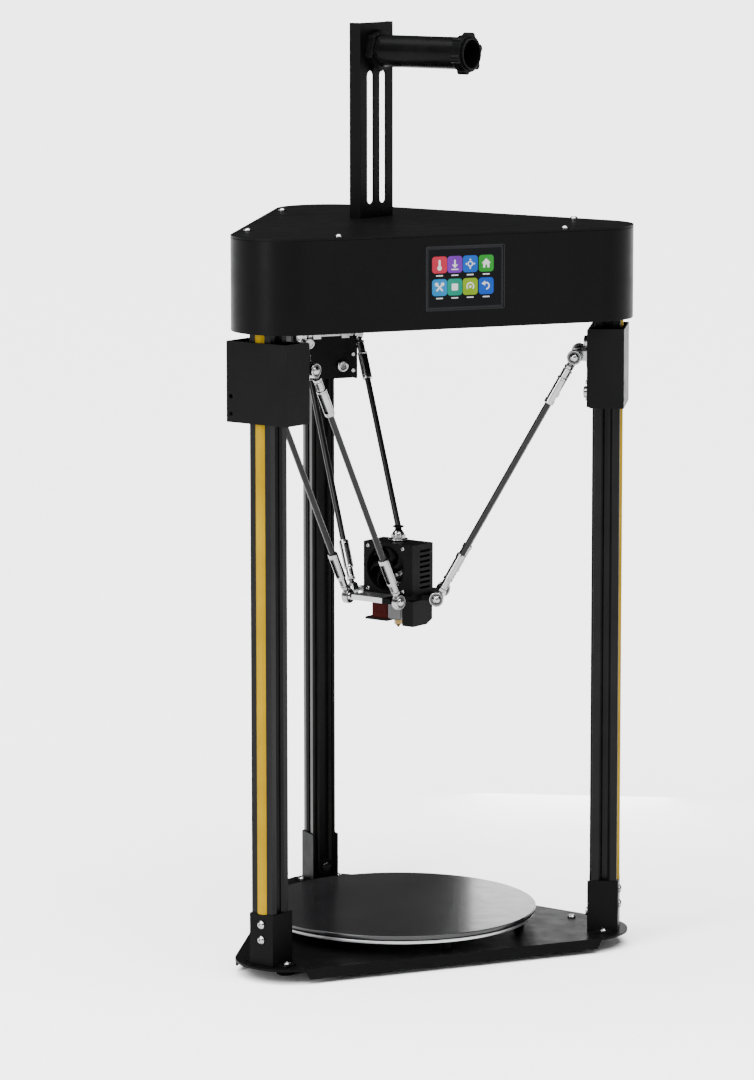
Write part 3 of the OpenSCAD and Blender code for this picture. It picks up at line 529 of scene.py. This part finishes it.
def makeBelts():
    bm = bmesh.new()
    radius = beltSizes["pitchRadius"]
    half = beltSizes["width"] / 2
    for tower in towerNames:
        drive = jointPlace("drive_pulley_" + tower + "_spin")
        idler = jointPlace("idler_pulley_" + tower + "_spin")
        outward = jointAxis("drive_pulley_" + tower + "_spin")
        place = placeAlong(Vector((drive.x, drive.y, 0)), outward, up)
        length = 2 * (drive.z - idler.z) + 2 * math.pi * radius
        teeth = round(length / beltSizes["pitch"])
        sections = []
        for k in range(teeth):
            for share, depth in beltSizes["toothOutline"]:
                distance = (k + share) * length / teeth
                section = []
                for offset in (beltSizes["back"], -depth * beltSizes["toothDepth"]):
                    x, z = loopPoint(distance, offset, idler.z, drive.z, radius)
                    for across in (-half, half):
                        section.append(bm.verts.new(place @ Vector((x, z, across))))
                sections.append(section)
        for k, first in enumerate(sections):
            second = sections[(k + 1) % len(sections)]
            for p, q in ((0, 1), (1, 3), (3, 2), (2, 0)):
                bm.faces.new((first[p], first[q], second[q], second[p]))
    finishPiece("toothedBelts", bm, Matrix.Identity(4), [blackRubber], "printer_frame",
                ["belts"])


makeBelts()
print("belts made")


# touch screen: bezel, cover glass, dark picture and eight picture keys

screenSizes = {"flange": 4 * mm, "bezel": 3.2 * mm, "lip": 0.35, "coverInset": 0.7, "corner": 1.5 * mm,
               "recess": 1.6 * mm,
               "keyWidth": 15 * mm, "keyHeight": 15.5 * mm, "keyRadius": 3 * mm, "keyRise": 1.2 * mm,
               "captionWidth": 7 * mm, "captionHeight": 1.1 * mm, "captionDrop": 10 * mm,
               "columns": (0.151, 0.36, 0.571, 0.79), "rows": (0.71, 0.32)}
# depths of the picture, the keys and their white outlines behind the bezel's face
screenDepths = {"glass": -1.5 * mm, "picture": -1 * mm, "keyBack": -0.96 * mm, "caption": -0.9 * mm,
                "keyFront": -0.84 * mm, "outline": -0.78 * mm}
keyColours = [(0.62, 0.03, 0.07), (0.2, 0.03, 0.46), (0.005, 0.12, 0.6), (0.02, 0.32, 0.03),
              (0.01, 0.26, 0.6), (0.005, 0.3, 0.2), (0.26, 0.44, 0.01), (0.005, 0.09, 0.55)]
screenLook = {"dark": (0.003, 0.003, 0.004), "light": (0.005, 0.005, 0.006), "roughness": (0.05, 0.09),
              "specular": 0.05, "coat": 0.05, "coatRoughness": 0.03, "depth": 0.000002}
litShades = {"low": 0.8, "high": 1.15, "lift": 0.01, "unlit": 0.04, "specular": 0.04}


def litMaterial(name, colour, strength, roughness=0.2):
    material = bpy.data.materials.new(name)
    material.use_nodes = True
    tree = material.node_tree
    shader = tree.nodes["Principled BSDF"]
    coordinates = addNode(tree, "ShaderNodeTexCoord").outputs["Object"]
    fade = noiseNode(tree, coordinates, 60, 1.0)
    shade = addNode(tree, "ShaderNodeMix", data_type="RGBA")
    shade.inputs[6].default_value = (*[c * litShades["low"] for c in colour], 1)
    bright = [min(1, c * litShades["high"] + litShades["lift"]) for c in colour]
    shade.inputs[7].default_value = (*bright, 1)
    tree.links.new(fade, shade.inputs["Factor"])
    tree.links.new(shade.outputs[2], shader.inputs["Emission Color"])
    shader.inputs["Base Color"].default_value = (*[c * litShades["unlit"] for c in colour], 1)
    shader.inputs["Specular IOR Level"].default_value = litShades["specular"]
    shader.inputs["Emission Strength"].default_value = strength
    shader.inputs["Roughness"].default_value = roughness
    return material


def keyPictures():
    # white outlines of each key in millimetres: heat, lower, level, home, tools, stop, dial, back
    bar = roundedBox(2, 7, 0.9, 3)
    cross = [(-0.8, -4.4), (0.8, -4.4), (0.8, 4.4), (-0.8, 4.4)]
    diagonal = math.cos(math.pi / 4)

    def tilted(outline, sign):
        return [(diagonal * (x - sign * y), diagonal * (sign * x + y)) for x, y in outline]

    return [
        [shifted(bar, 0, 1.2), shifted(circlePoints(2.2), 0, -3)],
        [shifted(roundedBox(1.6, 4.6, 0.4, 2), 0, 2), [(-3, -0.2), (0, -3.4), (3, -0.2)],
         shifted(roundedBox(7, 1, 0.3, 2), 0, -4.6)],
        [arcBand(2.2, 1.1, 0, 2 * math.pi - 0.01), [(0, 4.9), (-1, 3.9), (0, 2.9), (1, 3.9)],
         [(0, -4.9), (1, -3.9), (0, -2.9), (-1, -3.9)], [(4.9, 0), (3.9, 1), (2.9, 0), (3.9, -1)],
         [(-4.9, 0), (-3.9, -1), (-2.9, 0), (-3.9, 1)]],
        [[(-4.6, 0.2), (4.6, 0.2), (0, 4.6)],
         [(-3.2, 0.2), (-3.2, -4), (-1, -4), (-1, -1.4), (1, -1.4), (1, -4), (3.2, -4), (3.2, 0.2)]],
        [tilted(cross, 1), tilted(cross, -1), shifted(circlePoints(1.7), 3, 3),
         shifted(circlePoints(1.7), -3, 3)],
        [roundedBox(6.4, 6.4, 1, 3)],
        [arcBand(3.4, 1.2, -0.7, math.pi + 1.4), shifted(circlePoints(1.2), 0, -0.2)],
        [arcBand(2.9, 1.3, -math.pi / 2, math.pi * 1.2), [(-4.6, 2.2), (-1.2, 4.8), (-1, 0.2)]],
    ]


def makeScreen():
    low, high = (Vector(c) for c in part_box("touch_screen"))
    flange = screenSizes["flange"]
    width = high.x - low.x - 2 * flange
    height = high.z - low.z - 2 * flange
    middle = centreOf("touch_screen")
    place = placeAlong(Vector((middle.x, low.y, middle.z)), Vector((0, -1, 0)), up)
    deep = high.y - low.y
    bezel = screenSizes["bezel"]
    lip = screenSizes["lip"]
    corner = screenSizes["corner"]
    recess = screenSizes["recess"]
    colours = [litMaterial("keyColour%d" % k, colour, 1.0) for k, colour in enumerate(keyColours)]
    picture = litMaterial("screenPicture", (0.002, 0.003, 0.005), 0.4, 0.12)
    white = litMaterial("screenWhite", (0.85, 0.87, 0.9), 1.1)
    screenGlass = newMaterial("screenGlass", screenLook)
    bm = bmesh.new()
    outer = roundedBox(width, height, corner)
    inner = roundedBox(width - 2 * bezel * lip, height - 2 * bezel * lip, 1 * mm)
    prism(bm, outer, -deep, -1.4 * mm, place, 0)
    prism(bm, roundedBox(width + 2 * flange, height + 2 * flange, 1 * mm), -deep, -2 * mm, place, 0)
    ring = [[bm.verts.new(place @ Vector((x, y, z))) for x, y in line]
            for line, z in ((outer, -recess), (outer, 0), (inner, 0), (inner, -recess))]
    count = len(outer)
    for first, second in zip(ring, ring[1:] + ring[:1]):
        for k in range(count):
            after = (k + 1) % count
            bm.faces.new((first[k], first[after], second[after], second[k])).material_index = 1
    shownWidth = width - 2 * bezel
    shownHeight = height - 2 * bezel
    inset = bezel * screenSizes["coverInset"]
    cover = roundedBox(width - inset - 0.2 * mm, height - inset - 0.2 * mm, 1 * mm)
    keyBack = screenDepths["keyBack"]
    keyFront = screenDepths["keyFront"]
    prism(bm, cover, screenDepths["glass"], screenDepths["picture"], place, 1)
    prism(bm, roundedBox(shownWidth, shownHeight, 0.5 * mm), screenDepths["picture"], keyBack, place, 2)
    key = roundedBox(screenSizes["keyWidth"], screenSizes["keyHeight"], screenSizes["keyRadius"])
    caption = roundedBox(screenSizes["captionWidth"], screenSizes["captionHeight"], 0.5 * mm, 3)
    for k, outlines in enumerate(keyPictures()):
        x = (screenSizes["columns"][k % 4] - 0.5) * shownWidth
        y = (screenSizes["rows"][k // 4] - 0.5) * shownHeight + screenSizes["keyRise"]
        keyPlace = place @ Matrix.Translation((x, y, 0))
        captionPlace = place @ Matrix.Translation((x, y - screenSizes["captionDrop"], 0))
        prism(bm, key, keyBack, keyFront, keyPlace, 4 + k)
        for outline in outlines:
            picked = [(px * mm, py * mm) for px, py in outline]
            prism(bm, picked, keyFront, screenDepths["outline"], keyPlace, 3)
        prism(bm, caption, keyBack, screenDepths["caption"], captionPlace, 3)
    finishPiece("touchScreen", bm, Matrix.Identity(4), [blackPlastic, screenGlass, picture, white] + colours,
                "printer_frame", ["touch_screen"])


makeScreen()
print("touch screen made")


# fans: wheels with swept blades, and a guard ring and corner screws on the hot-end fan's frame

fanSizes = {"hub": 8 * mm, "blades": 7, "sweep": 0.55, "pitch": 0.62, "clearance": 0.2 * mm,
            "skin": 0.35 * mm, "root": 0.5 * mm, "hole": 21.5 * mm, "screwReach": 20.6 * mm}


def makeFanWheel(body, name):
    place = placeAlong(jointPlace(body + "_spin"), jointAxis(body + "_spin"), up)
    inside = [place.inverted() @ v.co for v in nodes[body].data.vertices]
    reach = max(math.hypot(v.x, v.y) for v in inside) - fanSizes["clearance"]
    half = max(v.z for v in inside)
    hub = fanSizes["hub"]
    root = fanSizes["root"]
    skins = (-fanSizes["skin"], fanSizes["skin"])
    still = Matrix.Identity(4)
    bm = bmesh.new()
    drum = [(hub - 0.6 * mm, -half), (hub, -half + 0.6 * mm), (hub, half - 0.8 * mm), (hub - 0.8 * mm, half)]
    turned(bm, drum, still, 0, 40)
    turned(bm, [(hub - 2.6 * mm, half - 0.2 * mm), (hub - 2.8 * mm, half - 0.05 * mm)], still, 1, 40)
    steps = 8
    loop = (0, 2, 4, 5, 3, 1)
    for blade in range(fanSizes["blades"]):
        start = 2 * math.pi * blade / fanSizes["blades"]
        rows = []
        for k in range(steps + 1):
            share = k / steps
            radius = hub - root + (reach - hub + root) * share
            spread = fanSizes["pitch"] * (1 - 0.25 * share)
            middle = start + fanSizes["sweep"] * share * share
            row = []
            for side in (-1, 0, 1):
                turn = middle + side * spread / 2
                lift = side * half * 0.8 + (0.5 * mm if side == 0 else 0)
                x, y = radius * math.cos(turn), radius * math.sin(turn)
                row += [bm.verts.new((x, y, lift + skin)) for skin in skins]
            rows.append(row)
        for first, second in zip(rows, rows[1:]):
            for k in range(6):
                p, q = loop[k], loop[(k + 1) % 6]
                bm.faces.new((first[p], first[q], second[q], second[p])).smooth = True
        for row in (rows[0], rows[-1]):
            bm.faces.new([row[p] for p in loop])
    finishPiece(name, bm, place, [blackPlastic, dullSteel], body, [body])


makeFanWheel("hotend_fan_rotor", "hotEndFanWheel")
makeFanWheel("side_fan_rotor", "sideFanWheel")


def screwHead(bm, place, radius=1.9 * mm, height=1 * mm):
    # domed head with a cross recess, drawn as a dark raised cross: painted shade
    dome = [(radius, -0.3 * mm), (radius, height * 0.35), (radius * 0.78, height * 0.85),
            (radius * 0.45, height)]
    turned(bm, dome, place, 0, 24)
    long = radius * 0.55
    half = 0.25 * mm
    crossShade = [(-long, -half), (long, -half), (long, half), (-long, half)]
    for turn in (0, math.pi / 2):
        crossShadePlace = place @ Matrix.Rotation(turn, 4, "Z")
        prism(bm, crossShade, height - 0.05 * mm, height + 0.06 * mm, crossShadePlace, 1)


def makeFanFront():
    # ring lip and four screws on the front of the hot-end fan's frame
    axis = jointAxis("hotend_fan_rotor_spin")
    centre = jointPlace("hotend_fan_rotor_spin")
    front = max((Vector(v.co) - centre).dot(axis) for v in nodes["hotend_shroud"].data.vertices)
    place = placeAlong(centre + axis * front, axis, up)
    hole = fanSizes["hole"]
    reach = fanSizes["screwReach"]
    bm = bmesh.new()
    lip = [(hole - 0.1 * mm, -0.6 * mm), (hole + 0.9 * mm, -0.6 * mm), (hole + 0.7 * mm, 0.5 * mm),
           (hole + 0.2 * mm, 0.5 * mm)]
    turned(bm, lip, place, 1, 72, closed=True)
    for x in (-1, 1):
        for y in (-1, 1):
            screwHead(bm, place @ Matrix.Translation((x * reach, y * reach, 0)))
    finishPiece("fanFrontFittings", bm, Matrix.Identity(4), [brightSteel, blackPlastic], "effector")


makeFanFront()
print("fans made")


heaterSizes = {"split": -7 * mm, "inset": 0.6 * mm, "sleeveCorner": 1.4 * mm, "blockCorner": 0.5 * mm,
               "ribs": (0.3, 0.7), "ribHalf": 0.5 * mm, "ribReach": 0.3 * mm, "ribShort": 1 * mm}


def makeHeaterBlock():
    # bare block around the nozzle, red sleeve with two ribs around its long end
    axis = jointAxis("hotend_fan_rotor_spin")
    place = placeAlong(Vector((0, bedCentre.y, 0)), up, up.cross(axis))
    inside = [place.inverted() @ v.co for v in nodes["heater_block"].data.vertices]
    low = Vector([min(v[k] for v in inside) for k in range(3)])
    high = Vector([max(v[k] for v in inside) for k in range(3)])
    split = heaterSizes["split"]
    middle = (low.x + high.x) / 2
    width = high.x - low.x
    bm = bmesh.new()
    parts = ((low.y, split, 0, heaterSizes["sleeveCorner"]),
             (split, high.y, heaterSizes["inset"], heaterSizes["blockCorner"]))
    for finish, (start, stop, inset, corner) in enumerate(parts):
        outline = roundedBox(width - 2 * inset, stop - start, corner, 4)
        spot = place @ Matrix.Translation((middle, (start + stop) / 2, 0))
        prism(bm, outline, low.z + inset, high.z - inset, spot, finish)
    rib = roundedBox(width + heaterSizes["ribReach"], split - low.y - heaterSizes["ribShort"],
                     heaterSizes["sleeveCorner"], 4)
    spot = place @ Matrix.Translation((middle, (low.y + split) / 2, 0))
    for height in heaterSizes["ribs"]:
        z = low.z + (high.z - low.z) * height
        prism(bm, rib, z - heaterSizes["ribHalf"], z + heaterSizes["ribHalf"], spot, 0)
    finishPiece("heaterBlock", bm, Matrix.Identity(4), [redSilicone, dullSteel], "effector",
                ["heater_block"], edge=0.0004)


makeHeaterBlock()
print("heater block made")


boltSizes = {"wheelSide": 18 * mm, "wheelRise": 24 * mm, "belowBalls": 10 * mm, "headBack": 9.1 * mm,
             "headRadius": 5.8 * mm, "headHeight": 1.2 * mm}


def makeBoltHeads(tower):
    # domed caps with hexagon sockets on the three wheel bolts, each socket a shallow dish over a black
    # hexagon, painted shade
    left = jointPlace("rod_" + tower + "_left_spin")
    right = jointPlace("rod_" + tower + "_right_spin")
    outward = jointAxis("drive_pulley_" + tower + "_spin")
    middle = (left + right) / 2 - up * boltSizes["belowBalls"] + outward * boltSizes["headBack"]
    place = placeAlong(middle, -outward, up)
    radius = boltSizes["headRadius"]
    bm = bmesh.new()
    for side, rise in ((1, 1), (1, -1), (-1, 0)):
        spot = place @ Matrix.Translation((side * boltSizes["wheelSide"], rise * boltSizes["wheelRise"], 0))
        dome = [(radius * 0.5, -1 * mm), (radius, -1 * mm), (radius, 0), (radius - 0.9 * mm, 0.9 * mm),
                (radius * 0.55, boltSizes["headHeight"]), (radius * 0.5, 0.8 * mm)]
        turned(bm, dome, spot, 0, 40)
        # painted shade: black hexagon for the socket's depth
        prism(bm, circlePoints(radius * 0.5, 6), -0.9 * mm, 0.2 * mm, spot, 1)
    finishPiece("boltHeads_" + tower, bm, Matrix.Identity(4), [brightSteel, blackPlastic],
                "carriage_" + tower)


for tower in towerNames:
    makeBoltHeads(tower)
print("bolt heads made")


fittingSizes = {"bore": 2.05 * mm, "facets": 6, "facetReach": 6 * mm, "facetWidth": 5.4 * mm,
                "facetDepth": 1.2 * mm, "facetLow": -12.1 * mm, "facetHigh": -8.6 * mm}


def makeTubeFitting():
    # flanged and domed steel body with a black release collar, heights measured down from the top
    low, high = (Vector(c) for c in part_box("tube_fitting"))
    centre = centreOf("tube_fitting")
    place = Matrix.Translation((centre.x, centre.y, high.z))
    bore = fittingSizes["bore"]
    flange = (high.x - low.x) / 2
    still = Matrix.Identity(4)
    body = [(bore, -22.1), (4.9 * mm, -22.1), (4.9 * mm, -14.1), (flange - 0.4 * mm, -14.1), (flange, -13.7),
            (flange, -12.5), (flange - 0.5 * mm, -12.1), (6.1 * mm, -12.1), (6.1 * mm, -9), (5.9 * mm, -7.6),
            (5.3 * mm, -6.2), (4.3 * mm, -5.1), (3.4 * mm, -3.7), (bore, -3.7)]
    collar = [(bore, -3.6), (3.2 * mm, -3.6), (3.2 * mm, -1.9), (4.6 * mm, -1.5), (5.4 * mm, -1.1),
              (5.4 * mm, -0.5), (5 * mm, 0), (bore + 0.8 * mm, 0), (bore, -0.6)]
    facet = shifted(roundedBox(fittingSizes["facetDepth"], fittingSizes["facetWidth"], 0.3 * mm, 3),
                    fittingSizes["facetReach"], 0)
    bm = bmesh.new()
    turned(bm, [(radius, z * mm) for radius, z in body], still, 0, 48, closed=True)
    for k in range(fittingSizes["facets"]):
        turn = Matrix.Rotation(2 * math.pi / fittingSizes["facets"] * k, 4, "Z")
        prism(bm, facet, fittingSizes["facetLow"], fittingSizes["facetHigh"], turn, 0)
    turned(bm, [(radius, z * mm) for radius, z in collar], still, 1, 48, closed=True)
    finishPiece("tubeFitting", bm, place, [brightSteel, blackPlastic], "effector",
                ["tube_fitting"])


makeTubeFitting()
print("tube fitting made")


# floor, light and camera

studio = {"floorSize": 160, "sun": 16.5, "sunAngle": 80, "sunTilt": (12, -14), "world": 0.09,
          "middleHeight": 0.45}
softBoxes = {"leftBox": {"place": (-2.6, -1.2, 1.3), "size": (0.8, 2.2), "power": 95},
             "rightBox": {"place": (1.1, -3.2, 1.2), "size": (0.5, 1.4), "power": 20},
             "bedPanel": {"place": (0.43, 0.47, 0.12), "size": (0.22, 0.24), "power": 0.7,
                          "target": (0.14, bedCentre.y, 0.05)}}
floorLook = {"dark": (0.84, 0.84, 0.84), "light": (0.86, 0.86, 0.86), "speck": 0.01, "roughness": (0.7, 0.8),
             "depth": 0.00001}


def makeFloor():
    bm = bmesh.new()
    bmesh.ops.create_grid(bm, x_segments=1, y_segments=1, size=studio["floorSize"] / 2)
    mesh = bpy.data.meshes.new("paleFloor")
    bm.to_mesh(mesh)
    bm.free()
    mesh.materials.append(newMaterial("paleFloor", floorLook))
    floor = bpy.data.objects.new("paleFloor", mesh)
    bpy.context.scene.collection.objects.link(floor)


def softBox(name, place, target, size, power):
    light = bpy.data.lights.new(name, "AREA")
    light.shape = "RECTANGLE"
    light.size, light.size_y = size
    light.energy = power
    lamp = bpy.data.objects.new(name, light)
    bpy.context.scene.collection.objects.link(lamp)
    lamp.visible_camera = False
    lamp.location = place
    lamp.rotation_euler = (Vector(target) - Vector(place)).to_track_quat("-Z", "Y").to_euler()


def makeLight():
    middle = (0, bedCentre.y, studio["middleHeight"])
    sun = bpy.data.lights.new("skyLight", "SUN")
    sun.energy = studio["sun"]
    sun.angle = math.radians(studio["sunAngle"])
    lamp = bpy.data.objects.new("skyLight", sun)
    bpy.context.scene.collection.objects.link(lamp)
    tiltX, tiltY = studio["sunTilt"]
    lamp.rotation_euler = (math.radians(tiltX), math.radians(tiltY), 0)
    for name, box in softBoxes.items():
        softBox(name, box["place"], box.get("target", middle), box["size"], box["power"])
    world = bpy.data.worlds.new("paleRoom")
    world.use_nodes = True
    world.node_tree.nodes["Background"].inputs["Color"].default_value = (1, 1, 1, 1)
    world.node_tree.nodes["Background"].inputs["Strength"].default_value = studio["world"]
    bpy.context.scene.world = world


camera = {"azimuth": -23.36, "elevation": 8.21, "distance": 4.3145, "lens": 150.68, "sensor": 36,
          "shift": (-0.01975, -0.0487), "targetHeight": 0.44, "farLimit": 400}


def makeCamera():
    lens = bpy.data.cameras.new("camera")
    lens.lens = camera["lens"]
    lens.sensor_fit = "AUTO"
    lens.sensor_width = camera["sensor"]
    lens.shift_x, lens.shift_y = camera["shift"]
    lens.clip_end = camera["farLimit"]
    viewer = bpy.data.objects.new("camera", lens)
    bpy.context.scene.collection.objects.link(viewer)
    target = Vector((0, bedCentre.y, camera["targetHeight"]))
    turn = math.radians(camera["azimuth"])
    rise = math.radians(camera["elevation"])
    away = Vector((math.sin(turn) * math.cos(rise), -math.cos(turn) * math.cos(rise), math.sin(rise)))
    viewer.location = target + away * camera["distance"]
    viewer.rotation_euler = (-away).to_track_quat("-Z", "Y").to_euler()
    bpy.context.scene.camera = viewer


makeFloor()
makeLight()
makeCamera()
print("studio set")
